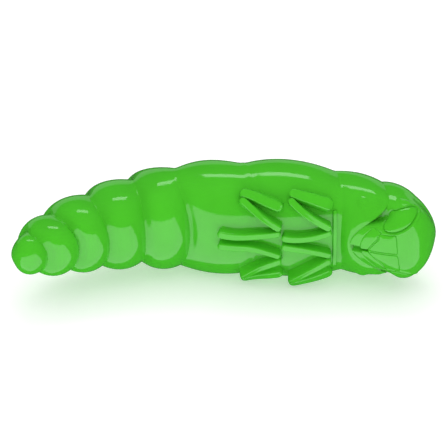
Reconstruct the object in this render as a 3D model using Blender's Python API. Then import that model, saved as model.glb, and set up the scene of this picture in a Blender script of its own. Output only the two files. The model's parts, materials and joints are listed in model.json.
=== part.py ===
"""Soft plastic grub bait: a curled larva-shaped lure lying on its flank.

+X runs from tail to head, +Y is the back of the grub, -Y its belly and +Z points out
of the upper flank. The lower flank rests on z = 0. Each fold between two lobes is a
hinge: a ball-shaped neck of plastic sits in a cup in the lobe on either side of it.
All dimensions in this file are millimetres; they become metres when a mesh is made.
"""

import math
from collections import namedtuple

import bmesh
import bpy
from mathutils import Vector

MM = 0.001

# Driving dimensions, in millimetres
REST_HALF_WIDTH = 5.3       # mid-plane height; the widest flanks are flattened at z = 0
NOSE_FLAT_X = 18.8          # the nose is flattened here, where the mould gate is trimmed
SEGMENTS_AROUND = 24
LOBE_STEPS = 6
CUP_STEPS = 3
CAP_STEPS = 8
NECK_SHARE = 0.6            # neck radius as a share of the fold's smaller half size
CUP_CLEARANCE = 0.08
FOLD_CLEARANCE = 0.10
BEND_MARGIN = 1.15          # how much more room a fold leaves than its worst bend takes up
BELLY_SQUARENESS = 2.3      # superellipse exponent of the flatter belly side
SURFACE_GAP = 0.06          # between a raised detail and the skin under it
DETAIL_EDGE = 0.08          # how thick a raised detail is at its outline
BISECTIONS = 18             # halvings used to find a place on the skin
LEG_HEIGHT = 1.0
LEG_WIDTH = 0.95

# top and bottom lie in the mid-plane as (x, y); half_width is across the grub.
# bow_up and bow_low push the fold forward on the upper and lower flank.
# swing is the bend in the mid-plane and sway the bend across it, each way, in degrees.
Fold = namedtuple("Fold", "top bottom half_width bow_up bow_low swing sway")
FOLDS = {
    "1_2": Fold((-18.6, -3.0), (-15.85, -5.05), 1.75, 0.2, -0.4, 12, 0),
    "2_3": Fold((-16.8, -0.8), (-13.1, -3.8), 2.45, 0.3, -0.5, 12, 8),
    "3_4": Fold((-13.5, 2.1), (-10.4, -3.0), 3.15, 0.3, -0.5, 12, 8),
    "4_5": Fold((-9.8, 4.0), (-7.2, -2.05), 3.75, 0.6, 0.0, 10, 8),
    "5_6": Fold((-4.7, 5.0), (-3.2, -1.35), 4.65, -0.3, -0.9, 8, 0),
    "6_7": Fold((0.4, 5.25), (2.5, -2.5), 5.15, 0.7, 0.4, 4, 0),
    "7_8": Fold((8.0, 4.7), (10.1, -2.2), 4.45, 1.4, 0.6, 6, 0),
    "8_9": Fold((12.55, 3.5), (11.05, -3.55), 3.9, 2.0, 4.4, 5, 0),
}

# bulge is the arc height over the lobe's chord on back, flank and belly;
# lean below 1 moves the crest of the arc towards the tail.
Lobe = namedtuple("Lobe", "name rear front bulge lean")
LOBES = [
    Lobe("abdomen_lobe_2", "1_2", "2_3", (0.25, 0.17, 0.26), (0.75, 0.9, 1.0)),
    Lobe("abdomen_lobe_3", "2_3", "3_4", (0.22, 0.145, 0.235), (0.7, 0.9, 1.0)),
    Lobe("abdomen_lobe_4", "3_4", "4_5", (0.22, 0.11, 0.205), (0.65, 0.9, 1.0)),
    Lobe("abdomen_lobe_5", "4_5", "5_6", (0.225, 0.11, 0.21), (0.5, 0.9, 1.0)),
    Lobe("abdomen_lobe_6", "5_6", "6_7", (0.16, 0.06, 0.10), (0.9, 0.95, 1.0)),
    Lobe("thorax_lobe", "6_7", "7_8", (0.13, 0.09, 0.06), (0.95, 1.0, 1.0)),
    Lobe("shoulder_lobe", "7_8", "8_9", (0.127, 0.10, 0.10), (1.0, 1.0, 1.0)),
]

# An end cap closes the skin from a fold to a pole. power squares the meridians and
# swell fattens them, each on back, flank and belly.
Cap = namedtuple("Cap", "name fold pole axis power swell side")
TAIL = Cap("tail_tip", "1_2", (-18.35, -5.65), (-0.60, -0.80), (2.1, 2.1, 2.1), (0, 0.1, 0), -1)
HEAD = Cap("head", "8_9", (18.98, -2.1), (0.955, -0.297), (1.75, 2.3, 2.9), (0, 0.12, 0.14), 1)

# Leg centre lines as (x, z) on the belly; z is mirrored for the other side
LEGS = {
    "rear": {
        "femur": ((1.5, 4.3), (4.95, 3.45)),
        "tibia": ((1.5, 3.15), (4.2, 2.3)),
        "tarsus": ((-0.45, 0.52), (5.0, 1.2)),
    },
    "front": {
        "femur": ((6.2, 4.4), (9.2, 3.45)),
        "tibia": ((6.2, 3.2), (8.7, 2.3)),
        "tarsus": ((5.2, 0.52), (9.2, 1.2)),
    },
}
LEG_SKIN_GAP = {"rear": 0.30, "front": 0.10}   # the rear pair reaches over fold 6_7

# Raised face details: centre and half size along the meridian (0..1) and around (deg)
Detail = namedtuple("Detail", "name centre half around half_around crown squareness paired")
DETAILS = [
    Detail("eye", 0.28, 0.15, 135, 16, 0.45, 2.0, True),
    Detail("palp", 0.075, 0.042, 165, 9, 0.30, 3.0, True),
    Detail("mandible", 0.20, 0.065, 166, 11, 0.30, 4.0, True),
    Detail("collar", 0.23, 0.17, 0, 62, 0.35, 2.4, False),
]

# Linear colours of the dyed plastic
LIME = (0.071, 0.546, 0.021, 1)
PALE_LIME = (0.120, 0.620, 0.050, 1)
DEEP_LIME = (0.045, 0.400, 0.018, 1)


def section(phi):
    """Unit cross-section: round over the back, squarer over the belly."""
    c, s = math.cos(phi), math.sin(phi)
    if c >= 0:
        return c, s
    n = BELLY_SQUARENESS
    k = (abs(c) ** n + abs(s) ** n) ** (-1 / n)
    return c * k, s * k


def blend_around(values, phi):
    """Mixes a (back, flank, belly) triple at the angle phi from the back."""
    side = math.sin(phi) ** 2
    middle = values[0] if math.cos(phi) > 0 else values[2]
    return side * values[1] + (1 - side) * middle


def fold_frame(fold):
    """Centre of the fold, its half height, and its unit up and forward directions."""
    top, bottom = Vector((*fold.top, 0)), Vector((*fold.bottom, 0))
    up = (top - bottom) / 2
    half = up.length
    up.normalize()
    return (top + bottom) / 2, half, up, Vector((up.y, -up.x, 0))


def pivot(fold):
    """Both hinge axes of a fold pass through this point in the mid-plane."""
    centre, _, _, forward = fold_frame(fold)
    return centre + forward * (fold.bow_up + fold.bow_low) / 4


def fold_point(fold, phi, shift=0.0):
    centre, half, up, forward = fold_frame(fold)
    c, s = section(phi)
    bow = s * s * ((fold.bow_up + fold.bow_low) + (fold.bow_up - fold.bow_low) * c) / 2
    return centre + up * half * c + forward * (bow + shift) + Vector((0, 0, fold.half_width * s))


def neck_radius(fold):
    return NECK_SHARE * min(fold_frame(fold)[1], fold.half_width)


def bend_closing(fold):
    """Half of how far two lobes close up at the rim of a flat fold in its worst bend."""
    half = fold_frame(fold)[1]
    swing = half * math.radians(fold.swing)
    sway = fold.half_width * math.radians(fold.sway)
    return math.hypot(swing, sway) / 2


def bow_closing(fold):
    """How much more they close where a bow makes the walls of the fold slant."""
    wall = fold_frame(fold)[1] - neck_radius(fold)
    bow = (fold.bow_up + fold.bow_low) / 4
    return math.radians(fold.swing) * bow * bow / wall / 2


def setback(fold, share=1.0):
    """How far a lobe stays back from its fold, at a share of the way out to the rim."""
    return FOLD_CLEARANCE / 2 + BEND_MARGIN * share * (bend_closing(fold) + bow_closing(fold))


def arc_height(u, share):
    """Height of a circular arc over a unit chord, with its sagitta given as a share."""
    radius = (0.25 + share * share) / (2 * share)
    return math.sqrt(max(radius * radius - (u - 0.5) ** 2, 0)) - (radius - share)


def lobe_point(lobe, u, phi, slotted=True):
    """Point on a lobe's skin, u from its rear fold to its front fold."""
    rear, front = FOLDS[lobe.rear], FOLDS[lobe.front]
    a = fold_point(rear, phi, setback(rear) if slotted else 0)
    b = fold_point(front, phi, -setback(front) if slotted else 0)
    chord = b - a
    along = chord.normalized()
    spine = (fold_frame(rear)[0] + fold_frame(front)[0]) / 2
    out = (a + b) / 2 - spine
    out = (out - along * out.dot(along)).normalized()
    full = (fold_point(front, phi) - fold_point(rear, phi)).length
    lean = blend_around(lobe.lean, phi)
    height = arc_height(u ** lean, blend_around(lobe.bulge, phi)) * full
    return a + chord * u + out * height


def cap_point(cap, t, phi, slotted=True):
    """Point on an end cap's skin, t from its fold (0) to its pole (1)."""
    fold = FOLDS[cap.fold]
    start = fold_point(fold, phi, cap.side * setback(fold) if slotted else 0)
    pole = Vector((*cap.pole, 0))
    axis = Vector((*cap.axis, 0)).normalized()
    foot = pole + axis * (start - pole).dot(axis)
    angle = t * math.pi / 2
    power = 2 / blend_around(cap.power, phi)
    swell = 1 + blend_around(cap.swell, phi) * math.sin(2 * angle)
    shrink = max(math.cos(angle), 0) ** power
    reach = math.sin(angle) ** power
    return foot + (start - foot) * shrink * swell + (pole - foot) * reach


def cup_rings(fold, side):
    """The socket around the neck, from its deepest point out to its rim."""
    _, _, up, forward = fold_frame(fold)
    centre = pivot(fold)
    radius = neck_radius(fold) + CUP_CLEARANCE
    inward = forward * side
    widest = math.acos(setback(fold, NECK_SHARE) / radius)
    rings = [[centre + inward * radius]]
    for step in range(1, CUP_STEPS + 1):
        beta = widest * step / CUP_STEPS
        ring = []
        for phi in around():
            c, s = section(phi)
            outward = (up * c + Vector((0, 0, s))).normalized()
            ring.append(centre + (inward * math.cos(beta) + outward * math.sin(beta)) * radius)
        rings.append(ring)
    return rings


def around():
    return [2 * math.pi * k / SEGMENTS_AROUND for k in range(SEGMENTS_AROUND)]


def lobe_rings(lobe):
    rings = cup_rings(FOLDS[lobe.rear], 1)
    for step in range(LOBE_STEPS + 1):
        rings.append([lobe_point(lobe, step / LOBE_STEPS, phi) for phi in around()])
    return rings + cup_rings(FOLDS[lobe.front], -1)[::-1]


def cap_rings(cap):
    rings = cup_rings(FOLDS[cap.fold], cap.side)
    for step in range(CAP_STEPS):
        rings.append([cap_point(cap, step / CAP_STEPS, phi) for phi in around()])
    rings.append([cap_point(cap, 1, 0)])
    return rings


def closed_loft(rings):
    """Vertices and faces of a loft whose first and last rings are single points or loops."""
    points, faces, starts = [], [], []
    for ring in rings:
        starts.append(len(points))
        points.extend(ring)
    for (a, ring_a), (b, ring_b) in zip(zip(starts, rings), zip(starts[1:], rings[1:])):
        size_a, size_b = len(ring_a), len(ring_b)
        count = max(size_a, size_b)
        for k in range(count):
            n = (k + 1) % count
            corners = [a + k % size_a, a + n % size_a, b + n % size_b, b + k % size_b]
            faces.append(list(dict.fromkeys(corners)))
    for start, ring in ((starts[0], rings[0]), (starts[-1], rings[-1])):
        if len(ring) > 2:
            faces.append(list(range(start, start + len(ring))))
    return points, faces


def rest_on_floor(point):
    """Lifts the grub onto its flank, and trims the flank and nose flat."""
    x = min(point.x, NOSE_FLAT_X)
    return Vector((x, point.y, max(point.z + REST_HALF_WIDTH, 0)))


def material(name, colour, roughness):
    made = bpy.data.materials.new(name)
    made.use_nodes = True
    shader = made.node_tree.nodes["Principled BSDF"]
    shader.inputs["Base Color"].default_value = colour
    shader.inputs["Roughness"].default_value = roughness
    shader.inputs["Metallic"].default_value = 0.0
    return made


def add_piece(name, solid, joint, colour=LIME, roughness=0.2):
    """Makes one named object whose origin is its body's joint."""
    points, faces = solid
    origin = joint.matrix_world.translation
    mesh = bpy.data.meshes.new(name)
    mesh.from_pydata([rest_on_floor(p) * MM - origin for p in points], [], faces)
    edit = bmesh.new()
    edit.from_mesh(mesh)
    bmesh.ops.recalc_face_normals(edit, faces=edit.faces)
    bmesh.ops.triangulate(edit, faces=edit.faces)
    edit.to_mesh(mesh)
    edit.free()
    mesh.shade_smooth()
    mesh.set_sharp_from_angle(angle=math.radians(40))
    mesh.materials.append(material(name + "_plastic", colour, roughness))
    piece = bpy.data.objects.new(name, mesh)
    piece.parent = joint
    bpy.context.scene.collection.objects.link(piece)
    return piece


def add_joint(name, place, parent):
    """An empty on the hinge axes of one body, chained to the body it hangs from."""
    joint = bpy.data.objects.new("joint_" + name, None)
    joint.empty_display_size = 2 * MM
    bpy.context.scene.collection.objects.link(joint)
    world = rest_on_floor(place) * MM
    joint.parent = parent
    joint.location = world - (parent.matrix_world.translation if parent else Vector())
    bpy.context.view_layer.update()
    return joint


def neck_solid(fold):
    """A ball on the fold's pivot; its poles point along the grub."""
    _, _, up, forward = fold_frame(fold)
    centre, radius = pivot(fold), neck_radius(fold)
    bands, sides = 8, 16
    spokes = []
    for k in range(sides):
        turn = 2 * math.pi * k / sides
        spokes.append(up * math.cos(turn) + Vector((0, 0, math.sin(turn))))
    rings = [[centre - forward * radius]]
    for band in range(1, bands):
        beta = math.pi * band / bands
        middle = centre - forward * radius * math.cos(beta)
        rings.append([middle + spoke * radius * math.sin(beta) for spoke in spokes])
    rings.append([centre + forward * radius])
    return closed_loft(rings)


def skin_station(x, z):
    """The point on the belly skin at x and z, with its outward normal."""
    phi_low, phi_high = math.pi / 2, math.pi
    for _ in range(BISECTIONS):
        phi = (phi_low + phi_high) / 2
        lobe, u = station_at(x, phi)
        if lobe_point(lobe, u, phi, slotted=False).z > abs(z):
            phi_low = phi
        else:
            phi_high = phi
    point = lobe_point(lobe, u, phi, slotted=False)
    normal = skin_normal(lambda du, dphi: lobe_point(lobe, u + du, phi + dphi, slotted=False))
    if z < 0:
        return mirrored(point), mirrored(normal)
    return point, normal


def mirrored(vector):
    return Vector((vector.x, vector.y, -vector.z))


def station_at(x, phi):
    """The lobe and the u on it where the skin at phi passes x."""
    choices = LOBES[3:]
    lobe = next((c for c in choices if lobe_point(c, 1, phi, slotted=False).x >= x), choices[-1])
    low, high = 0.0, 1.0
    for _ in range(BISECTIONS):
        middle = (low + high) / 2
        if lobe_point(lobe, middle, phi, slotted=False).x < x:
            low = middle
        else:
            high = middle
    return lobe, min(max((low + high) / 2, 0.02), 0.98)


def skin_normal(place):
    """Outward normal of a skin from small steps along and around it."""
    step = 0.01
    along = place(step, 0) - place(-step, 0)
    across = place(0, step) - place(0, -step)
    return across.cross(along).normalized()


def rib_solid(path, width, height, gap):
    """A raised rib with a rounded crest that follows the belly along an (x, z) path."""
    (x0, z0), (x1, z1) = path
    steps = 5
    stations = []
    for k in range(steps + 1):
        share = k / steps
        stations.append(skin_station(x0 + (x1 - x0) * share, z0 + (z1 - z0) * share))
    profile = ((-0.5, 0.0), (-0.46, 0.7), (-0.25, 1.0), (0.25, 1.0), (0.46, 0.7), (0.5, 0.0))
    rings = []
    for k, (point, normal) in enumerate(stations):
        ahead = stations[min(k + 1, steps)][0] - stations[max(k - 1, 0)][0]
        side = ahead.cross(normal).normalized()
        ring = []
        for across, lift in profile:
            ring.append(point + side * across * width + normal * (gap + lift * (height - gap)))
        rings.append(ring)
    return closed_loft(rings)


def detail_solid(detail, mirror):
    """A raised lens or plate that follows the head's skin."""
    rings_out, sides = 4, 16
    sign = -1 if mirror else 1

    def place(share, turn, lift):
        c, s = math.cos(turn), math.sin(turn)
        n = detail.squareness
        k = share * (abs(c) ** n + abs(s) ** n) ** (-1 / n)
        t = detail.centre + detail.half * c * k
        phi = math.radians(detail.around + detail.half_around * s * k) * sign
        normal = skin_normal(lambda dt, dphi: cap_point(HEAD, max(t + dt, 0), phi + dphi))
        return cap_point(HEAD, t, phi) + normal * lift

    turns = [2 * math.pi * k / sides for k in range(sides)]
    under = [[place(0, 0, SURFACE_GAP)]]
    over = []
    for step in range(1, rings_out + 1):
        share = step / rings_out
        under.append([place(share, turn, SURFACE_GAP) for turn in turns])
        crown = SURFACE_GAP + DETAIL_EDGE + detail.crown * (1 - share ** 2) ** 0.6
        over.append([place(share, turn, crown) for turn in turns])
    top = [place(0, 0, SURFACE_GAP + DETAIL_EDGE + detail.crown)]
    return closed_loft(under + over[::-1] + [top])


def strip_solid():
    """The thin flat band across the belly, just behind fold 7_8."""
    return rib_solid(((9.62, 2.9), (9.62, -2.9)), 0.4, 0.3, 0.1)


def build():
    for old in list(bpy.data.objects):
        bpy.data.objects.remove(old)

    root = add_joint("thorax", Vector((5.2, 1.2, 0)), None)
    add_piece("thorax_lobe", closed_loft(lobe_rings(LOBES[5])), root)
    add_piece("belly_strip", strip_solid(), root, PALE_LIME)
    for pair, parts in LEGS.items():
        for part, path in parts.items():
            for side, sign in (("left", -1), ("right", 1)):
                turned = tuple((x, z * sign) for x, z in path)
                solid = rib_solid(turned, LEG_WIDTH, LEG_HEIGHT, LEG_SKIN_GAP[pair])
                add_piece(f"{pair}_leg_{part}_{side}", solid, root, PALE_LIME)

    build_tailwards(root)
    build_headwards(root)


def build_tailwards(root):
    """Necks, abdomen lobes and tail tip, each hung from the body in front of it."""
    parent = root
    hung = [(lobe.name, closed_loft(lobe_rings(lobe)), lobe.front) for lobe in LOBES[4::-1]]
    hung.append((TAIL.name, closed_loft(cap_rings(TAIL)), TAIL.fold))
    for name, solid, fold_name in hung:
        fold = FOLDS[fold_name]
        if fold.sway:
            parent = add_joint("neck_" + fold_name, pivot(fold), parent)
        add_piece("neck_" + fold_name, neck_solid(fold), parent, DEEP_LIME)
        parent = add_joint(name, pivot(fold), parent)
        add_piece(name, solid, parent)


def build_headwards(root):
    """Necks, shoulder lobe, and the head with its raised face details."""
    shoulder, head_fold = LOBES[6], FOLDS[HEAD.fold]
    add_piece("neck_7_8", neck_solid(FOLDS["7_8"]), root, DEEP_LIME)
    joint = add_joint(shoulder.name, pivot(FOLDS["7_8"]), root)
    add_piece(shoulder.name, closed_loft(lobe_rings(shoulder)), joint)
    add_piece("neck_8_9", neck_solid(head_fold), joint, DEEP_LIME)
    joint = add_joint(HEAD.name, pivot(head_fold), joint)
    add_piece("head_capsule", closed_loft(cap_rings(HEAD)), joint)
    for detail in DETAILS:
        if not detail.paired:
            add_piece(detail.name, detail_solid(detail, False), joint)
            continue
        for side, mirror in (("left", True), ("right", False)):
            add_piece(f"{detail.name}_{side}", detail_solid(detail, mirror), joint, PALE_LIME)


build()
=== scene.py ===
import json
import math
from collections import namedtuple

import bpy
import numpy as np
from mathutils import Matrix, Vector
from mathutils.bvhtree import BVHTree


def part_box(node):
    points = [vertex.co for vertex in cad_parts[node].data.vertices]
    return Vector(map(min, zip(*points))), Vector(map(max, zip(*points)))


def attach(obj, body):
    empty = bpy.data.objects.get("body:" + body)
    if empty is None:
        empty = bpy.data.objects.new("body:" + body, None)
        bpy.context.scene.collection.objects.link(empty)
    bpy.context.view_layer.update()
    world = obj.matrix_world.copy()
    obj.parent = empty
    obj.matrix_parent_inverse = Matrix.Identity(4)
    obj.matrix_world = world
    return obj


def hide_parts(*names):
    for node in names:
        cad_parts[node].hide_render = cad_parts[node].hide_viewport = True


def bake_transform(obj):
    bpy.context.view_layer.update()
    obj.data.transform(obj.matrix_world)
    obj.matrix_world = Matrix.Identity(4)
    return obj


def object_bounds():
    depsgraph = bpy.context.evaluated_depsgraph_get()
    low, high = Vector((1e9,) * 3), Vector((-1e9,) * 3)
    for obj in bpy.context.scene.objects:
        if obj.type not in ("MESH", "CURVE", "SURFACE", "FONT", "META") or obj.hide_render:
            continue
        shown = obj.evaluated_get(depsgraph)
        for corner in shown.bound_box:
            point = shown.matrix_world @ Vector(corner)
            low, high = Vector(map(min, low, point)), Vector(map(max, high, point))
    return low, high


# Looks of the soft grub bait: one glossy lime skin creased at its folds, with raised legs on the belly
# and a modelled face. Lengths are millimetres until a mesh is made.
"""Looks of the soft grub bait: one glossy lime skin that bends at its folds, with raised
legs on the belly and a modelled face. Lengths are millimetres until a mesh is made."""

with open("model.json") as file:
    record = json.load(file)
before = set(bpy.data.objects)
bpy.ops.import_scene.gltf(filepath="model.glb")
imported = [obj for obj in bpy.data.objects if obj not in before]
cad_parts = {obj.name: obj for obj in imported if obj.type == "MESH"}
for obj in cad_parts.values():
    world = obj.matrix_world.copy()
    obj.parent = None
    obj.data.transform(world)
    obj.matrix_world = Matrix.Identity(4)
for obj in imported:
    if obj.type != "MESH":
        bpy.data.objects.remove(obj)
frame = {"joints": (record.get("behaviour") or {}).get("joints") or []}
cad_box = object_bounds()

MM = 0.001
AROUND = 128                 # skin points around the body
ROWS = 26                    # skin rows from a fold to the middle of a lobe
TAIL_ROWS = 44               # skin rows from the tail fold to the tail's pole
SEAM_ROWS = 12               # skin rows between a fold that sways and the seam behind it
HALVINGS = 30                # steps that find where a plane cuts the skin
CREASE_CROWDING = 1.6        # how much closer together the rows are at a crease
MID_Z = sum(corner.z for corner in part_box("head_capsule")) / 2 / MM
JOINTS = {joint["name"]: joint for joint in frame["joints"]}

# A fold of the body. tilt is how far its plane leans tailwards, in degrees. centre is how
# far its middle lies behind and below its pivot. The bows push it forward on the upper and
# lower flank, and ahead does so beside the back. corners widen it between back and flank
# and between flank and belly. fillet rounds it on back, flank, belly.
Fold = namedtuple("Fold", "joint tilt centre half_height half_width bow_up bow_low ahead corners fillet")
FOLDS = (
    Fold("curl_1_2", 53.3, (-0.05, 0), 1.72, 1.75, 0.2, -0.4, 0.6, (0, 0), (0.04, 0.04, 0.04)),
    Fold("curl_2_3", 51.0, (-0.05, 0), 2.38, 2.45, 0.3, -0.5, 0.65, (0, 0), (0.04, 0.04, 0.04)),
    Fold("curl_3_4", 31.3, (-0.05, 0), 2.98, 3.15, 0.3, -0.5, 0.8, (0, 0), (0.04, 0.05, 0.05)),
    Fold("curl_4_5", 23.3, (0.15, 0), 3.29, 3.75, 0.6, 0.0, 0.9, (0, 0), (0.04, 0.06, 0.06)),
    Fold("curl_5_6", 13.3, (-0.3, 0), 3.26, 4.65, -0.3, -0.9, 0.5, (0, 0), (0.04, 0.05, 0.04)),
    Fold("curl_6_7", 15.2, (0.275, 0), 4.01, 5.15, 0.7, 0.4, 0.1, (-0.03, 0), (0.03, 0.12, 0.12)),
    Fold("curl_7_8", 16.9, (0.5, 0.3), 3.85, 4.50, 1.4, 0.6, 0.4, (-0.10, 0.06), (0.02, 0.03, 0.04)),
    Fold("nod_8_9", -12.0, (1.6, 0), 3.60, 4.12, 1.37, 3.63, 1.05, (0, 0.02), (0.0, 0.0, 0.0)),
)
JOWL_BOW = 3.0               # pushes the head fold forward between flank and belly

# The arc of each lobe as a share of its chord, and how far its crest leans tailwards
Lobe = namedtuple("Lobe", "bulge lean")
LOBES = (
    Lobe((0.25, 0.17, 0.26), (0.75, 0.9, 1.0)),
    Lobe((0.22, 0.145, 0.235), (0.70, 0.9, 1.0)),
    Lobe((0.22, 0.095, 0.205), (0.65, 0.9, 1.0)),
    Lobe((0.225, 0.095, 0.21), (0.50, 0.9, 1.0)),
    Lobe((0.16, 0.06, 0.10), (0.90, 0.95, 1.0)),
    Lobe((0.12, 0.08, 0.06), (0.95, 1.0, 1.0)),
    Lobe((0.127, 0.06, 0.07), (1.0, 1.0, 1.0)),
)
BELLY_SQUARENESS = 2.3       # 2 is an ellipse
FILLET_REACH = 0.5           # how far from a fold its rounding is felt
FLOOR_SOFTNESS = 0.05        # how gently the skin flattens onto the floor

# The rounded ends: pole from the nearest joint, axis, meridian power and side swell
Cap = namedtuple("Cap", "fold pole axis power swell")
TAIL = Cap(0, (-1.2, -1.65), (-0.60, -0.80), (2.1, 2.1, 2.1), (0.03, 0.14, 0.03))
HEAD = Cap(7, (5.45, -1.74), (0.955, -0.297), (1.75, 1.85, 2.9), (0.0, 0.05, 0.15))

# Which bodies each fold joins: behind, on the fold where it also sways, and ahead.
# The last entry is the CAD nodes that the skin over the fold stands for.
HINGES = (
    ("tail", None, "abdomen_2", ("tail_tip", "neck_1_2")),
    ("abdomen_2", "fold_2_3", "abdomen_3", ("abdomen_lobe_2", "neck_2_3")),
    ("abdomen_3", "fold_3_4", "abdomen_4", ("abdomen_lobe_3", "neck_3_4")),
    ("abdomen_4", "fold_4_5", "abdomen_5", ("abdomen_lobe_4", "neck_4_5")),
    ("abdomen_5", None, "abdomen_6", ("abdomen_lobe_5", "neck_5_6")),
    ("abdomen_6", None, "thorax", ("abdomen_lobe_6", "neck_6_7")),
    ("thorax", None, "shoulder", ("thorax_lobe", "neck_7_8", "shoulder_lobe")),
)
SWAY_FOLDS = (1, 2, 3)
SWAY_SEAM_SETBACK = 0.15
THORAX, SHOULDER = 5, 6
THORAX_SEAM_X = 5.1
BEND_REACH = 0.6             # how far a bend spreads, as a share of the fold's half height
TAIL_BEND_START = -1.2       # where the bend at the tail starts, ahead of its pivot
SHOULDER_BEND_MARGIN = 0.2   # how far the bend at the shoulder ends short of the head fold

# Shoulder: places and spreads are (share along the lobe, degrees from the back)
JAW_STEP, JAW_STEP_ALONG, JAW_STEP_AROUND = 0.04, (0.7, 1.0), (100, 130)
BUMP_PLACE, BUMP_SPREAD, BUMP_RISE = (0.50, 132), (0.12, 5.5), 0.15
RIPPLE_PLACE, RIPPLE_SPREAD, RIPPLE_RISE = (0.85, 128), (0.10, 7.0), 0.10
RIPPLE_WAVES = (8.0, 0.55)   # radians per share along the lobe and per degree

# Face: outlines, places and spreads are (share of the way to the nose, degrees from the
# middle of the back). The eye's outline is a smooth curve, and the jaw plates' have eased
# corners. The whole face is turned a little about the head, in degrees.
FACE_TURN = 5.0
EYE_POINTS = ((0.045, 126.5), (0.10, 126.0), (0.185, 122.0), (0.405, 114.5),
              (0.395, 136.5), (0.275, 150.0), (0.135, 150.5), (0.045, 134.5))
PALP_CORNERS = ((0.035, 149), (0.130, 154), (0.112, 155), (0.126, 162), (0.105, 170),
                (0.076, 178.6), (0.035, 178.6))
MANDIBLE_CORNERS = ((0.120, 155.5), (0.138, 162.5), (0.112, 170.6), (0.082, 179.0), (0.336, 179.0),
                    (0.338, 172.5), (0.308, 161), (0.270, 154.5), (0.21, 155.8))
FACE_FROM, FACE_STEP, BACK_STEP = 104, 0.6, 3.0
FACE_END, FACE_ROWS, NOSE_ROWS = 0.46, 92, 40
COLLAR_RISE, COLLAR_REACH, COLLAR_AROUND = 0.12, 0.21, (112, 80)
PIT_PLACE, PIT_SPREAD, PIT_DEPTH = (0.0, 135), (0.08, 9.0), 0.8
BROW_PLACE, BROW_SPREAD, BROW_RISE = (0.21, 111), (0.09, 3.0), 0.15
EYE_GROOVE, JAW_GROOVE = 0.12, 0.05
GROOVE_FADE, GROOVE_LEFT = (0.035, 0.085), 0.4
EYE_LIP, LIP_SETBACK, LIP_WIDTH, LIP_FADE = 0.06, 0.11, 0.10, (0.12, 0.28)
EYE_CROWN, PALP_CROWN, MANDIBLE_CROWN = 0.13, 0.05, 0.04
SEAT_DEPTH, SEAT_SLOPE = 0.32, (0.03, 0.15)
MOUTH_DEPTH, MOUTH_HALF_WIDTH, MOUTH_RADIUS, MOUTH_END = 0.5, 0.20, 3.4, (0.055, 0.085)
UNCUT = -0.01                # a lip stands only where nothing is cut deeper than this
PLATE_DEPTH, PLATE_BEVEL, PLATE_FIT = 0.24, 0.10, 0.985
PLATE_UNDER = (0.12, 0.5, 0.85, 1.0)
PLATE_OVER = (1.0, 0.985, 0.965, 0.94, 0.9, 0.82, 0.7, 0.55, 0.4, 0.25, 0.12)
TUCK_REACH, TUCK_DROP = 0.9, 0.3
TUCK_SHARES = (1.0, 0.75, 0.5, 0.3, 0.15, 0.05)

# A leg part: its path on the belly as (x, z) from the mid-plane at the start, control and
# end of a curve, its widths and heights at both ends. Femur and tibia share the knee. Each
# pair of legs also names a lobe, last.
Part = namedtuple("Part", "start control end widths heights")
LEGS = {
    "rear": ({
        "femur": Part((1.25, 4.1), (3.2, 3.8), (5.1, 3.2), (0.95, 1.15), (0.90, 0.65)),
        "tibia": Part((1.25, 3.75), (2.6, 2.75), (5.0, 1.5), (0.75, 0.75), (0.90, 0.95)),
        "tarsus": Part((-0.65, 0.62), (2.2, 0.3), (4.95, 1.15), (0.85, 0.65), (0.75, 0.85)),
    }, THORAX),
    "front": ({
        "femur": Part((5.7, 4.25), (7.6, 3.95), (9.5, 3.25), (0.95, 1.45), (1.10, 0.50)),
        "tibia": Part((5.7, 3.9), (7.0, 2.75), (9.3, 1.5), (0.75, 0.75), (1.10, 0.95)),
        "tarsus": Part((5.0, 0.45), (7.2, 0.35), (9.35, 1.2), (0.80, 0.65), (0.80, 0.85)),
    }, SHOULDER),
}
TARSUS_LEAN = 0.32           # how far a tarsus starts above its mirrored place

# Half of a rib's cross-section and its mirror: across as a share of its width, lift as a
# share of its height, or in millimetres below the skin
HALF_PROFILE = ((0.60, -0.45), (0.57, -0.02), (0.50, 0.12), (0.46, 0.5), (0.42, 0.82),
                (0.39, 0.93), (0.34, 0.985), (0.28, 1.0), (0.15, 0.985))
RIB_PROFILE = HALF_PROFILE + ((0.0, 0.98),) + tuple((-x, y) for x, y in reversed(HALF_PROFILE))
RIB_END_WIDTH, RIB_END_HEIGHT = 0.12, 0.72
RIB_POINTS, RIB_CROWDING = 30, 0.75
BELOW_BELLY = -20.0          # y from which the belly is looked for
STRIP_X, STRIP_HALF_LENGTH, STRIP_WIDTH, STRIP_HEIGHT = 9.72, 2.9, 0.40, 0.22
SHARP_ANGLE = 50             # degrees between faces from which an edge shows

# Linear colours of the dyed plastic
LIME = (0.071, 0.546, 0.021)
DEEP_LIME = (0.045, 0.40, 0.018)
SKIN_ROUGHNESS, LEG_ROUGHNESS, FACE_ROUGHNESS = 0.09, 0.10, 0.08

# Studio, in millimetres and degrees
CAMERA_LENS, CAMERA_ELEVATION, CAMERA_ROLL, FRAME_WIDTH = 200.0, 31.5, -0.8, 40.5
FLOOR_HALF, FLOOR_DROP = 2000.0, -0.02
FLOOR_COLOUR, FLOOR_GLOW = (0.8, 0.8, 0.8), 0.35
WORLD_STRENGTH, WORLD_REFLECTED = 0.6, 0.06
SOFTBOX_DISTANCE = 300.0
SOFTBOXES = (
    # name, azimuth, elevation, turn, width, height, brightness in reflections and in shading
    ("front_low", 2, -35, 10, 740, 450, 1.7, 1.25),
    ("top_strip", 180, 66, 0, 150, 62, 3.4, 3.4),
    ("back_rim", 180, 12, 0, 700, 130, 0.4, 0.4),
    ("overhead", 0, 90, 0, 600, 600, 0.0, 0.65),
)

PHI = np.linspace(0, 2 * math.pi, AROUND, endpoint=False)


def unit(v):
    return v / np.maximum(np.linalg.norm(v, axis=-1, keepdims=True), 1e-12)


def smooth(x, low, high):
    t = np.clip((x - low) / (high - low), 0, 1)
    return t * t * (3 - 2 * t)


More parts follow.
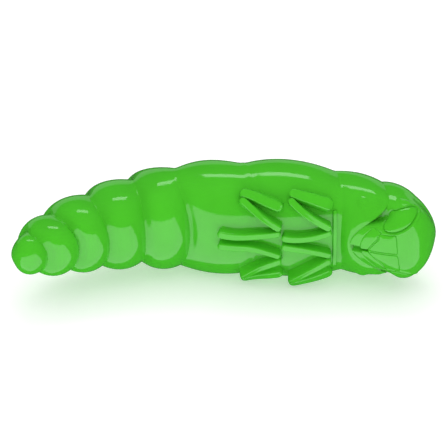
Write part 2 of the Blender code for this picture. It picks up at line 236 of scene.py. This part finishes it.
def section(phi):
    """Unit cross-section at the angle phi from the back: squarer over the belly."""
    c, s = np.cos(phi), np.sin(phi)
    n = BELLY_SQUARENESS
    k = (np.abs(c) ** n + np.abs(s) ** n) ** (-1 / n)
    k = np.where(c < 0, k, 1)
    return c * k, s * k


def mix(values, phi):
    """Mixes a (back, flank, belly) triple around the section."""
    side = np.sin(phi) ** 4
    return side * values[1] + (1 - side) * np.where(np.cos(phi) > 0, values[0], values[2])


def joint_place(name):
    return np.array(JOINTS[name]["pos_m"]) / MM


def fold_frame(k):
    """Pivot, centre, up and forward of fold k."""
    fold = FOLDS[k]
    tilt = math.radians(fold.tilt)
    up = np.array([-math.sin(tilt), math.cos(tilt), 0])
    forward = np.array([math.cos(tilt), math.sin(tilt), 0])
    pivot = joint_place(fold.joint)
    behind, below = fold.centre
    return pivot, pivot - forward * behind - up * below, up, forward


def fold_ring(k, phi):
    fold = FOLDS[k]
    _, centre, up, forward = fold_frame(k)
    c, s = section(phi)
    bow = s * s * ((fold.bow_up + fold.bow_low) + (fold.bow_up - fold.bow_low) * c) / 2
    bow = bow + fold.ahead * np.maximum(c, 0) ** 2 * (0.35 + 2.2 * s * s)
    if k == HEAD.fold:
        bow = bow + JOWL_BOW * (s * np.minimum(c, 0)) ** 2
    corner = 1 + 4 * (s * c) ** 2 * np.where(c > 0, *fold.corners)
    c, s = c * corner, s * corner
    z = np.array([0, 0, 1.0])
    return (centre + up * (fold.half_height * c)[..., None] + forward * bow[..., None]
            + z * (fold.half_width * s)[..., None])


def fold_outward(k, phi):
    fold = FOLDS[k]
    _, _, up, _ = fold_frame(k)
    c, s = section(phi)
    z = np.array([0, 0, 1.0])
    return unit(up * (fold.half_height * c)[..., None] + z * (fold.half_width * s)[..., None])


def arc_height(u, share):
    radius = (0.25 + share * share) / (2 * share)
    return np.sqrt(np.maximum(radius * radius - (u - 0.5) ** 2, 0)) - (radius - share)


def lobe_skin(k, u, phi):
    """Skin of the lobe between folds k and k + 1."""
    a, b = fold_ring(k, phi), fold_ring(k + 1, phi)
    chord = b - a
    length = np.linalg.norm(chord, axis=-1)
    along = unit(chord)
    spine = (fold_frame(k)[1] + fold_frame(k + 1)[1]) / 2
    out = (a + b) / 2 - spine
    out = unit(out - along * (out * along).sum(-1, keepdims=True))
    lobe = LOBES[k]
    height = arc_height(u ** mix(lobe.lean, phi), mix(lobe.bulge, phi)) * length
    near = np.exp(-((u * length / FILLET_REACH) ** 2))
    far = np.exp(-(((1 - u) * length / FILLET_REACH) ** 2))
    fillet = near * mix(FOLDS[k].fillet, phi) + far * mix(FOLDS[k + 1].fillet, phi)
    height = np.sqrt(height ** 2 + fillet ** 2)
    away = (out * (1 - near - far)[..., None] + fold_outward(k, phi) * near[..., None]
            + fold_outward(k + 1, phi) * far[..., None])
    return a + chord * u[..., None] + unit(away) * height[..., None]


def cap_skin(cap, t, phi):
    """Skin of a rounded end, t from its fold (0) to its pole (1)."""
    pivot = fold_frame(cap.fold)[0]
    pole = pivot + np.array([*cap.pole, 0])
    axis = unit(np.array([*cap.axis, 0]))
    start = fold_ring(cap.fold, phi)
    foot = pole + axis * ((start - pole) @ axis)[..., None]
    angle = t * math.pi / 2
    power = 2 / mix(cap.power, phi)
    swell = 1 + mix(cap.swell, phi) * np.sin(2 * angle)
    shrink = (np.maximum(np.cos(angle), 0) ** power * swell)[..., None]
    reach = (np.sin(angle) ** power)[..., None]
    fillet = mix(FOLDS[cap.fold].fillet, phi) * np.exp(-((t * 3) / FILLET_REACH) ** 2)
    skin = foot + (start - foot) * shrink + (pole - foot) * reach
    return skin + fold_outward(cap.fold, phi) * fillet[..., None]


def on_floor(points):
    """Flattens the resting flank softly onto the floor."""
    z = points[..., 2]
    soft = (z + np.sqrt(z * z + FLOOR_SOFTNESS ** 2)) / 2
    return np.concatenate([points[..., :2], soft[..., None]], -1)


def cluster(n):
    """n + 1 shares from 0 to 1, close together near 0, where a crease is."""
    return (np.arange(n + 1) / n) ** CREASE_CROWDING


def normals(grid):
    """Outward normals of a grid of rows."""
    wide = np.concatenate([grid[:1], grid, grid[-1:]])
    along = wide[2:] - wide[:-2]
    across = np.roll(grid, -1, 1) - np.roll(grid, 1, 1)
    return unit(np.cross(across, along))


def plane_cut(k, place, direction, low):
    """Where the skin of lobe k passes a plane, as u for each point around."""
    low, high = np.full(AROUND, low), np.ones(AROUND)
    for _ in range(HALVINGS):
        middle = (low + high) / 2
        short = (on_floor(lobe_skin(k, middle, PHI)) - place) @ direction < 0
        low, high = np.where(short, middle, low), np.where(short, high, middle)
    return (low + high) / 2


def middle_cut(k):
    """The seam across lobe k, halfway between its folds; the thorax's is between its legs."""
    (_, rear, _, rear_forward), (_, front, _, front_forward) = fold_frame(k), fold_frame(k + 1)
    if k == THORAX:
        return plane_cut(k, np.array([THORAX_SEAM_X, 0, 0]), np.array([1.0, 0, 0]), 0.0)
    return plane_cut(k, (rear + front) / 2, unit(rear_forward + front_forward), 0.0)


def ahead_of(k, points):
    """How far points lie ahead of fold k's pivot, along the grub."""
    pivot, _, _, forward = fold_frame(k)
    return (points - pivot) @ forward


def body_rows():
    """The whole skin from the tail's pole to the head fold, and the rows where it is cut."""
    rows, cuts = [], {}
    tail = cluster(TAIL_ROWS)[-2::-1]
    rows.extend(on_floor(cap_skin(TAIL, np.full(AROUND, t), PHI)) for t in tail)
    for k in range(len(LOBES)):
        middle = middle_cut(k)
        near_front = np.ones(AROUND)
        if k + 1 in SWAY_FOLDS:
            pivot, _, _, forward = fold_frame(k + 1)
            behind = ahead_of(k + 1, fold_ring(k + 1, PHI)).min() - SWAY_SEAM_SETBACK
            near_front = plane_cut(k, pivot + forward * behind, forward, 0.5)
        stations = [middle * share for share in cluster(ROWS)[1:]]
        cuts["middle", k] = len(rows) + len(stations) - 1
        shares = cluster(ROWS)[-2::-1]
        stations += [near_front - (near_front - middle) * share for share in shares]
        if k + 1 in SWAY_FOLDS:
            cuts["behind", k + 1] = len(rows) + len(stations) - 1
            shares = np.linspace(0, 1, SEAM_ROWS + 1)[1:]
            stations += [near_front + (1 - near_front) * share for share in shares]
        rows.extend(on_floor(lobe_skin(k, u, PHI)) for u in stations)
        cuts["u", k] = (len(rows) - len(stations), stations)
    return np.array(rows), cuts


def apart(along, around, place, spread):
    """How far chart points lie from a place, in spreads along and around."""
    return (along - place[0]) / spread[0], (around - place[1]) / spread[1]


def shoulder_relief(u, around):
    """The shoulder dips under the jaw, with a small oval bump and ripples on each flank."""
    dip = -JAW_STEP * smooth(u, *JAW_STEP_ALONG) * smooth(around, *JAW_STEP_AROUND)
    ahead, aside = apart(u, around, BUMP_PLACE, BUMP_SPREAD)
    bump = BUMP_RISE * np.exp(-(ahead ** 2 + aside ** 2) ** 2)
    wave = np.cos((around - RIPPLE_PLACE[1]) * RIPPLE_WAVES[1] + (u - RIPPLE_PLACE[0]) * RIPPLE_WAVES[0])
    ahead, aside = apart(u, around, RIPPLE_PLACE, RIPPLE_SPREAD)
    ripple = RIPPLE_RISE * wave * np.exp(-ahead ** 2 - aside ** 2)
    return dip + bump + ripple


def faces_outward(points, faces):
    """The faces of a closed solid, turned so that its volume counts as positive."""
    volume = sum(np.dot(points[f[0]], np.cross(points[f[k]], points[f[k + 1]]))
                 for f in faces for k in range(1, len(f) - 1))
    return faces if volume > 0 else [face[::-1] for face in faces]


def make_mesh(name, points, faces, material, point_normals=None):
    """A mesh object from points in millimetres; the points are also kept as its rest place."""
    mesh = bpy.data.meshes.new(name)
    points = np.asarray(points, float)
    if point_normals is None:
        faces = faces_outward(points, faces)
    mesh.from_pydata((points * MM).tolist(), [], faces)
    mesh.update()
    mesh.shade_smooth()
    rest = mesh.attributes.new("rest_place", "FLOAT_VECTOR", "POINT")
    rest.data.foreach_set("vector", points.astype(np.float32).ravel())
    if point_normals is None:
        mesh.set_sharp_from_angle(angle=math.radians(SHARP_ANGLE))
    else:
        mesh.normals_split_custom_set_from_vertices(unit(point_normals).tolist())
    mesh.materials.append(material)
    piece = bpy.data.objects.new(name, mesh)
    bpy.context.scene.collection.objects.link(piece)
    return piece


def tube(rings, ring_normals=None):
    """Closed tube: rings of equal size, then a fan to the middle of each end ring."""
    rings = np.asarray(rings)
    count, size = rings.shape[:2]
    points = np.concatenate([rings.reshape(-1, 3), [rings[0].mean(0)], [rings[-1].mean(0)]])
    faces = []
    for row in range(count - 1):
        a, b = row * size, (row + 1) * size
        for k in range(size):
            n = (k + 1) % size
            faces.append((a + k, a + n, b + n, b + k))
    tail, head, last = count * size, count * size + 1, (count - 1) * size
    for k in range(size):
        n = (k + 1) % size
        faces.append((tail, n, k))
        faces.append((head, last + k, last + n))
    if ring_normals is None:
        return points, faces, None
    ends = unit(np.array([ring_normals[0].mean(0), ring_normals[-1].mean(0)]))
    return points, faces, np.concatenate([ring_normals.reshape(-1, 3), ends])


def zone_ends(k, low, high):
    """Start and end, in metres, of a bend given as distances ahead of fold k's pivot."""
    pivot, _, _, forward = fold_frame(k)
    return Vector((pivot + forward * low) * MM), Vector((pivot + forward * high) * MM)


def skin_piece(name, rows, row_normals, material, nodes):
    points, faces, point_normals = tube(rows, row_normals)
    piece = make_mesh(name, points, faces, material, point_normals)
    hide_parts(*nodes)
    return piece


def bend_limits(k, rows, first, last):
    """Where the bend at fold k starts and ends, ahead of its pivot."""
    low = ahead_of(k, rows[first]).max() if k else TAIL_BEND_START
    high = ahead_of(k, rows[last]).min()
    if k == SHOULDER:
        high -= SHOULDER_BEND_MARGIN
    reach = BEND_REACH * FOLDS[k].half_height
    return max(low, -reach), min(high, reach)


def finished_rows():
    """The body's skin with the shoulder's relief, its normals, and the rows where it is cut."""
    rows, cuts = body_rows()
    start, stations = cuts["u", SHOULDER]
    around = np.degrees(np.arccos(np.cos(PHI)))
    relief = np.array([shoulder_relief(u, around) for u in stations])
    rows[start:] += normals(rows)[start:] * relief[..., None]
    return rows, normals(rows), cuts


def build_body(material):
    """The skin, cut across the lobes into one or two pieces for each hinge."""
    rows, row_normals, cuts = finished_rows()
    first = 0
    bends = {}
    for k, (rear_body, fold_body, front_body, nodes) in enumerate(HINGES):
        last = len(rows) - 1 if k == SHOULDER else cuts["middle", k]
        low, high = bend_limits(k, rows, first, last)
        label = f"skin_{FOLDS[k].joint[-3:]}"
        if fold_body is None:
            parts = ((label, first, last, rear_body, front_body, low, high, nodes),)
            bends[k] = (rear_body, front_body, *zone_ends(k, low, high))
        else:
            cut = cuts["behind", k]
            seam = ahead_of(k, rows[cut]).mean()
            parts = ((f"{label}_rear", first, cut, rear_body, fold_body, low, seam, nodes[:1]),
                     (f"{label}_front", cut, last, fold_body, front_body, seam, high, nodes[1:]))
        for name, a, b, behind, before, start, end, stands_for in parts:
            piece = skin_piece(name, rows[a:b + 1], row_normals[a:b + 1], material, stands_for)
            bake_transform(piece)
        first = last
    return rows, bends


def curve_through(points, per_side=22):
    """A smooth closed curve through points in the face's chart."""
    points = np.array(points, float)
    s = (np.arange(per_side) / per_side)[:, None]
    before, after, beyond = (np.roll(points, -k, 0) for k in (-1, 1, 2))
    curve = [2 * b + (c - a) * s + (2 * a - 5 * b + 4 * c - d) * s ** 2 + (3 * b - a - 3 * c + d) * s ** 3
             for a, b, c, d in zip(before, points, after, beyond)]
    return np.concatenate(curve) / 2


def chart_curve(corners, per_side, rounding):
    """Points along a closed outline in the face's chart, with its corners eased."""
    corners = np.array(corners, float)
    sides = zip(corners, np.roll(corners, -1, 0))
    shares = np.arange(per_side) / per_side
    curve = np.concatenate([a + (b - a) * shares[:, None] for a, b in sides])
    for _ in range(rounding):
        curve = (np.roll(curve, 1, 0) + 2 * curve + np.roll(curve, -1, 0)) / 4
    return curve


EYE = curve_through(EYE_POINTS)
PALP = chart_curve(PALP_CORNERS, per_side=36, rounding=18)
MANDIBLE = chart_curve(MANDIBLE_CORNERS, per_side=24, rounding=8)
SIDES = {"right": 1, "left": -1}


def chart_angle(phi, side):
    """Degrees from the middle of the back in the face's chart, counted on one side."""
    return np.mod((np.degrees(phi) - FACE_TURN) * side, 360)


def face_angle(degrees, side):
    """Angle around the section of a chart angle on one side of the face."""
    return np.radians(degrees * side + FACE_TURN)


def soft_face(t, phi):
    """The head's skin with its soft shapes: the collar, the pit by the jaw and the brow."""
    skin = cap_skin(HEAD, t, phi)
    around = chart_angle(phi, 1)
    around = np.minimum(around, 360 - around)
    collar = COLLAR_RISE * np.maximum(1 - (t / COLLAR_REACH - 1) ** 2, 0) * smooth(around, *COLLAR_AROUND)
    ahead, aside = apart(t, around, PIT_PLACE, PIT_SPREAD)
    pit = -PIT_DEPTH * np.exp(-ahead ** 2 - aside ** 2)
    ahead, aside = apart(t, around, BROW_PLACE, BROW_SPREAD)
    brow = BROW_RISE * np.exp(-ahead ** 4 - aside ** 2)
    nose = smooth(t, 0.0, 1.0)[..., None]
    away = fold_outward(HEAD.fold, phi) * (1 - nose) + unit(np.array([*HEAD.axis, 0])) * nose
    return skin + unit(away) * (collar + pit + brow)[..., None]


def face_normals(t, phi, step=0.004):
    """Outward normals of the head's skin, from differences."""
    along = soft_face(np.minimum(t + step, 1), phi) - soft_face(np.maximum(t - step, 0), phi)
    across = soft_face(t, phi + step) - soft_face(t, phi - step)
    return unit(np.cross(across, along))


def face_place(t, phi, lift):
    """Points at a height over the head's skin."""
    t, phi, lift = np.broadcast_arrays(t, phi, lift)
    return soft_face(t, phi) + face_normals(t, phi) * lift[..., None]


def inside(curve, t, around):
    """Whether chart points lie inside a closed outline."""
    hits = np.zeros(t.shape, bool)
    for (t0, a0), (t1, a1) in zip(curve, np.roll(curve, -1, 0)):
        crosses = (a0 > around) != (a1 > around)
        where = t0 + (t1 - t0) * (around - a0) / (a1 - a0 if a1 != a0 else 1e-9)
        hits ^= crosses & (t < where)
    return hits


def groove_depth(t, groove):
    """Depth of a groove; it fades out under the shoulder's edge."""
    return groove * (GROOVE_LEFT + (1 - GROOVE_LEFT) * smooth(t, *GROOVE_FADE))


def plate_recess(outline, groove, lip, side, t, phi, place):
    """How far one plate's seat and the groove around it are cut; lip is a raised edge."""
    rim = soft_face(outline[:, 0], face_angle(outline[:, 1], side))
    near = np.full(t.shape, np.inf)
    for point in rim:
        near = np.minimum(near, np.linalg.norm(place - point, axis=-1))
    within = inside(outline, t, chart_angle(phi, side))
    depth = groove_depth(t, groove)
    seat = -depth - (SEAT_DEPTH - depth) * smooth(near, *SEAT_SLOPE)
    edge = -depth * (1 - smooth(near, 0.0, groove))
    ridge = np.exp(-((near - groove - LIP_SETBACK) / LIP_WIDTH) ** 2)
    edge += lip * smooth(t, *LIP_FADE) * ridge
    return np.where(within, seat, edge)


def face_recess(t, phi, place):
    """Seats for the eyes and jaw plates, and the mouth, cut into the head's skin."""
    cut, lips = np.zeros(t.shape), np.zeros(t.shape)
    for side in SIDES.values():
        for outline, groove, lip in ((EYE, EYE_GROOVE, EYE_LIP), (PALP, JAW_GROOVE, 0.0),
                                     (MANDIBLE, JAW_GROOVE, 0.0)):
            recess = plate_recess(outline, groove, lip, side, t, phi, place)
            cut, lips = np.minimum(cut, recess), np.maximum(lips, recess)
    angle = np.radians(chart_angle(phi, 1))
    across = MOUTH_RADIUS * np.sin(angle) / MOUTH_HALF_WIDTH
    mouth = (1 - smooth(t, *MOUTH_END)) * (np.cos(angle) < 0) * np.exp(-across ** 4)
    return cut + lips * (cut > UNCUT) - MOUTH_DEPTH * mouth


def tucked_rows(rim):
    """Rows that carry the head's rim back under the shoulder's edge."""
    pivot, _, _, forward = fold_frame(HEAD.fold)
    radius = np.linalg.norm(rim - pivot, axis=-1, keepdims=True)
    return [pivot + unit(rim - pivot - forward * TUCK_REACH * share) * (radius - TUCK_DROP * share ** 0.5)
            for share in TUCK_SHARES]


def build_head(material):
    """The head's skin with its seats, and a rim that tucks under the shoulder."""
    face = np.arange(FACE_FROM, 360 - FACE_FROM, FACE_STEP)
    back = np.arange(360 - FACE_FROM, 360 + FACE_FROM, BACK_STEP)
    nose = FACE_END + (1 - FACE_END) * np.arange(1, NOSE_ROWS) / NOSE_ROWS
    t = np.concatenate([np.linspace(0, FACE_END, FACE_ROWS), nose])
    t, phi = np.meshgrid(t, np.radians(np.concatenate([face, back])), indexing="ij")
    rows = soft_face(t, phi)
    rows = rows + normals(rows) * face_recess(t, phi, rows)[..., None]
    rows = np.concatenate([tucked_rows(rows[0]), rows])
    points, faces, point_normals = tube(rows, normals(rows))
    piece = make_mesh("head_skin", points, faces, material, point_normals)
    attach(piece, "head")
    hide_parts("head_capsule", "collar", "neck_8_9")


def build_plate(name, outline, groove, crown, side, material):
    """A domed plate or lens that sits in its seat on the face."""
    centre = outline.mean(0)

    def ring(share, lift):
        chart = centre + (outline - centre) * share
        return face_place(chart[:, 0], face_angle(chart[:, 1], SIDES[side]), lift)

    reach = np.linalg.norm(ring(1.0, 0.0) - ring(0.001, 0.0), axis=-1)
    rings = [ring(share * PLATE_FIT, -PLATE_DEPTH) for share in PLATE_UNDER]
    for share in PLATE_OVER:
        bevel = np.clip((1 - share) * reach / PLATE_BEVEL, 0, 1)
        depth = groove_depth(centre[0] + (outline[:, 0] - centre[0]) * share, groove)
        edge = -depth * (1 - np.sqrt(1 - (1 - bevel) ** 2))
        rings.append(ring(share * PLATE_FIT, edge + crown * (1 - share ** 2)))
    points, faces, _ = tube(rings)
    piece = make_mesh(f"{name}_{side}_form", points, faces, material)
    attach(piece, "head")
    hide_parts(f"{name}_{side}")


def belly_tree(rows):
    """The body's skin as a tree, to find where the belly is."""
    points, faces, _ = tube(rows)
    return BVHTree.FromPolygons([Vector(p) for p in points], faces)


def belly_point(tree, x, z):
    """The belly skin at x and z from the mid-plane, and its outward normal."""
    place, normal, _, _ = tree.ray_cast(Vector((x, BELOW_BELLY, MID_Z + z)), Vector((0, 1, 0)))
    return np.array(place), np.array(normal)


def rib(tree, path, widths, heights, smoothing=6):
    """A raised rib along a path of (x, z) points on the belly, rounded at its ends."""
    path = np.array(path, float)
    share = np.linspace(0, 1, len(path))
    width, height = np.interp(share, (0, 1), widths), np.interp(share, (0, 1), heights)
    found = [belly_point(tree, x, z) for x, z in path]
    line, up = np.array([f[0] for f in found]), unit(np.array([f[1] for f in found]))
    for _ in range(smoothing):
        line[1:-1] = (line[:-2] + 2 * line[1:-1] + line[2:]) / 4
        up[1:-1] = unit(up[:-2] + 2 * up[1:-1] + up[2:])
    ahead = unit(np.gradient(line, axis=0))
    side = unit(np.cross(ahead, up))
    run = np.concatenate([[0], np.cumsum(np.linalg.norm(np.diff(line, axis=0), axis=-1))])
    close = np.clip(np.minimum(run, run[-1] - run) / (width / 2), 0, 1)
    narrow = np.sqrt(1 - (1 - close) ** 2)
    height = height * (RIB_END_HEIGHT + (1 - RIB_END_HEIGHT) * narrow)
    width = width * (RIB_END_WIDTH + (1 - RIB_END_WIDTH) * narrow)
    rings = []
    for across, lift in RIB_PROFILE:
        raised = lift * height if lift > 0 else np.full(len(path), lift)
        rings.append(line + side * (across * width)[:, None] + up * raised[:, None])
    return tube(np.array(rings).transpose(1, 0, 2))[:2]


def bent_path(points):
    """Points along a quadratic curve through start, control and end, crowded at both ends."""
    start, control, end = (np.array(p, float) for p in points)
    even = np.linspace(0, 1, RIB_POINTS)
    crowded = 0.5 - 0.5 * np.cos(math.pi * even)
    s = (RIB_CROWDING * crowded + (1 - RIB_CROWDING) * even)[:, None]
    return start * (1 - s) ** 2 + 2 * control * s * (1 - s) + end * s ** 2


def build_legs(tree, material):
    for pair, (parts, hinge) in LEGS.items():
        for part, shape in parts.items():
            for side, sign in SIDES.items():
                path = bent_path([(x, z * sign) for x, z in shape[:3]])
                if part == "tarsus":
                    path[:, 1] += TARSUS_LEAN * np.linspace(1, 0, len(path)) ** 2
                solid = rib(tree, path, shape.widths, shape.heights)
                piece = make_mesh(f"{pair}_{part}_{side}_form", *solid, material)
                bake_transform(piece)
                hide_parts(f"{pair}_leg_{part}_{side}")


def build_strip(tree, material):
    """The thin flat band across the belly behind the shoulder."""
    path = bent_path([(STRIP_X, z) for z in (STRIP_HALF_LENGTH, 0, -STRIP_HALF_LENGTH)])
    solid = rib(tree, path, (STRIP_WIDTH, STRIP_WIDTH), (STRIP_HEIGHT, STRIP_HEIGHT), smoothing=1)
    piece = make_mesh("belly_strip_form", *solid, material)
    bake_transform(piece)
    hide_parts("belly_strip")


def plastic(name, colour, edge_colour, roughness):
    """Dyed glossy soft plastic: cloudy colour, deeper at grazing angles, a faint orange peel."""
    made = bpy.data.materials.new(name)
    made.use_nodes = True
    nodes, links = made.node_tree.nodes, made.node_tree.links
    shader = nodes["Principled BSDF"]
    place = nodes.new("ShaderNodeAttribute")
    place.attribute_name = "rest_place"

    def noise(scale, detail):
        node = nodes.new("ShaderNodeTexNoise")
        node.inputs["Scale"].default_value = scale
        node.inputs["Detail"].default_value = detail
        links.new(place.outputs["Vector"], node.inputs["Vector"])
        return node.outputs["Fac"]

    def ramp(factor, low, high):
        node = nodes.new("ShaderNodeMapRange")
        node.inputs["To Min"].default_value = low
        node.inputs["To Max"].default_value = high
        links.new(factor, node.inputs["Value"])
        return node.outputs["Result"]

    cloud = ramp(noise(scale=0.35, detail=3.0), 0.90, 1.10)
    tint = nodes.new("ShaderNodeMix")
    tint.data_type = "RGBA"
    tint.inputs["A"].default_value = (*colour, 1)
    tint.inputs["B"].default_value = (*edge_colour, 1)
    facing = nodes.new("ShaderNodeLayerWeight")
    facing.inputs["Blend"].default_value = 0.35
    links.new(facing.outputs["Facing"], tint.inputs["Factor"])
    shade = nodes.new("ShaderNodeHueSaturation")
    links.new(cloud, shade.inputs["Value"])
    links.new(tint.outputs["Result"], shade.inputs["Color"])
    links.new(shade.outputs["Color"], shader.inputs["Base Color"])
    uneven = ramp(noise(scale=1.6, detail=4.0), roughness * 0.7, roughness * 1.3)
    links.new(uneven, shader.inputs["Roughness"])
    peel = nodes.new("ShaderNodeBump")
    peel.inputs["Strength"].default_value = 0.12
    peel.inputs["Distance"].default_value = 0.00002
    links.new(noise(scale=2.6, detail=2.0), peel.inputs["Height"])
    links.new(peel.outputs["Normal"], shader.inputs["Normal"])
    shader.inputs["IOR"].default_value = 1.5
    return made


def matte(name, colour):
    made = bpy.data.materials.new(name)
    made.use_nodes = True
    shader = made.node_tree.nodes["Principled BSDF"]
    shader.inputs["Base Color"].default_value = (*colour, 1)
    shader.inputs["Roughness"].default_value = 0.9
    return made


def build_floor():
    """A wide pale floor with a faint glow, so that it stays near white."""
    middle = (cad_box[0] + cad_box[1]) / 2
    mesh = bpy.data.meshes.new("floor")
    half = FLOOR_HALF * MM
    corners = [(sx * half + middle.x, sy * half + middle.y, FLOOR_DROP * MM)
               for sx, sy in ((-1, -1), (1, -1), (1, 1), (-1, 1))]
    mesh.from_pydata(corners, [], [(0, 1, 2, 3)])
    white = matte("floor_white", FLOOR_COLOUR)
    shader = white.node_tree.nodes["Principled BSDF"]
    shader.inputs["Emission Color"].default_value = (1, 1, 1, 1)
    shader.inputs["Emission Strength"].default_value = FLOOR_GLOW
    mesh.materials.append(white)
    floor = bpy.data.objects.new("floor", mesh)
    bpy.context.scene.collection.objects.link(floor)
    floor.visible_glossy = False
    floor.visible_shadow = False


def softbox(name, azimuth, elevation, turn, width, height, reflected, shading):
    """A rectangular light seen from the grub at an azimuth from -Y and an elevation."""
    place = (azimuth, elevation, turn, width, height)
    lamp(f"{name}_reflected", *place, reflected).visible_diffuse = False
    lamp(f"{name}_shading", *place, shading).visible_glossy = False


def lamp(name, azimuth, elevation, turn, width, height, brightness):
    """One area light, as bright per area whatever its size."""
    middle = (cad_box[0] + cad_box[1]) / 2
    azimuth, elevation = math.radians(azimuth), math.radians(elevation)
    way = Vector((math.sin(azimuth) * math.cos(elevation), -math.cos(azimuth) * math.cos(elevation),
                  math.sin(elevation)))
    data = bpy.data.lights.new(name, "AREA")
    data.shape = "RECTANGLE"
    data.size, data.size_y = width * MM, height * MM
    data.energy = brightness * math.pi * data.size * data.size_y
    light = bpy.data.objects.new(name, data)
    light.location = middle + way * SOFTBOX_DISTANCE * MM
    facing = way.to_track_quat("Z", "Y").to_matrix()
    light.rotation_euler = (facing @ Matrix.Rotation(math.radians(turn), 3, "Z")).to_euler()
    bpy.context.scene.collection.objects.link(light)
    return light


def build_studio():
    """A white world, dim in reflections, and the softboxes."""
    world = bpy.data.worlds.new("studio")
    world.use_nodes = True
    nodes, links = world.node_tree.nodes, world.node_tree.links
    background = nodes["Background"]
    background.inputs["Color"].default_value = (1, 1, 1, 1)
    ray = nodes.new("ShaderNodeLightPath")
    seen = nodes.new("ShaderNodeMapRange")
    seen.inputs["To Min"].default_value = WORLD_STRENGTH
    seen.inputs["To Max"].default_value = WORLD_REFLECTED
    links.new(ray.outputs["Is Glossy Ray"], seen.inputs["Value"])
    brightest = nodes.new("ShaderNodeMath")
    brightest.operation = "MAXIMUM"
    links.new(seen.outputs["Result"], brightest.inputs[0])
    links.new(ray.outputs["Is Camera Ray"], brightest.inputs[1])
    links.new(brightest.outputs["Value"], background.inputs["Strength"])
    bpy.context.scene.world = world
    bpy.context.scene.view_settings.view_transform = "Standard"
    for light in SOFTBOXES:
        softbox(*light)


def build_camera():
    """A long lens that looks along +Y and down on the grub's belly."""
    middle = (cad_box[0] + cad_box[1]) / 2
    data = bpy.data.cameras.new("camera")
    data.lens = CAMERA_LENS
    data.clip_start = 0.01
    camera = bpy.data.objects.new("camera", data)
    distance = FRAME_WIDTH * MM * CAMERA_LENS / data.sensor_width
    elevation = math.radians(CAMERA_ELEVATION)
    way = Vector((0, -math.cos(elevation), math.sin(elevation)))
    camera.location = middle + way * distance
    roll = Matrix.Rotation(math.radians(CAMERA_ROLL), 3, "Z")
    camera.rotation_euler = (Matrix.Rotation(math.pi / 2 - elevation, 3, "X") @ roll).to_euler()
    bpy.context.scene.collection.objects.link(camera)
    bpy.context.scene.camera = camera


def build():
    skin_plastic = plastic("lime_skin", LIME, DEEP_LIME, SKIN_ROUGHNESS)
    leg_plastic = plastic("lime_legs", LIME, DEEP_LIME, LEG_ROUGHNESS)
    face_plastic = plastic("lime_face", LIME, DEEP_LIME, FACE_ROUGHNESS)
    rows, bends = build_body(skin_plastic)
    tree = belly_tree(rows)
    build_head(skin_plastic)
    build_legs(tree, leg_plastic)
    build_strip(tree, leg_plastic)
    for side in SIDES:
        build_plate("eye", EYE, EYE_GROOVE, EYE_CROWN, side, face_plastic)
        build_plate("palp", PALP, JAW_GROOVE, PALP_CROWN, side, face_plastic)
        build_plate("mandible", MANDIBLE, JAW_GROOVE, MANDIBLE_CROWN, side, face_plastic)
    build_floor()
    build_studio()
    build_camera()


build()
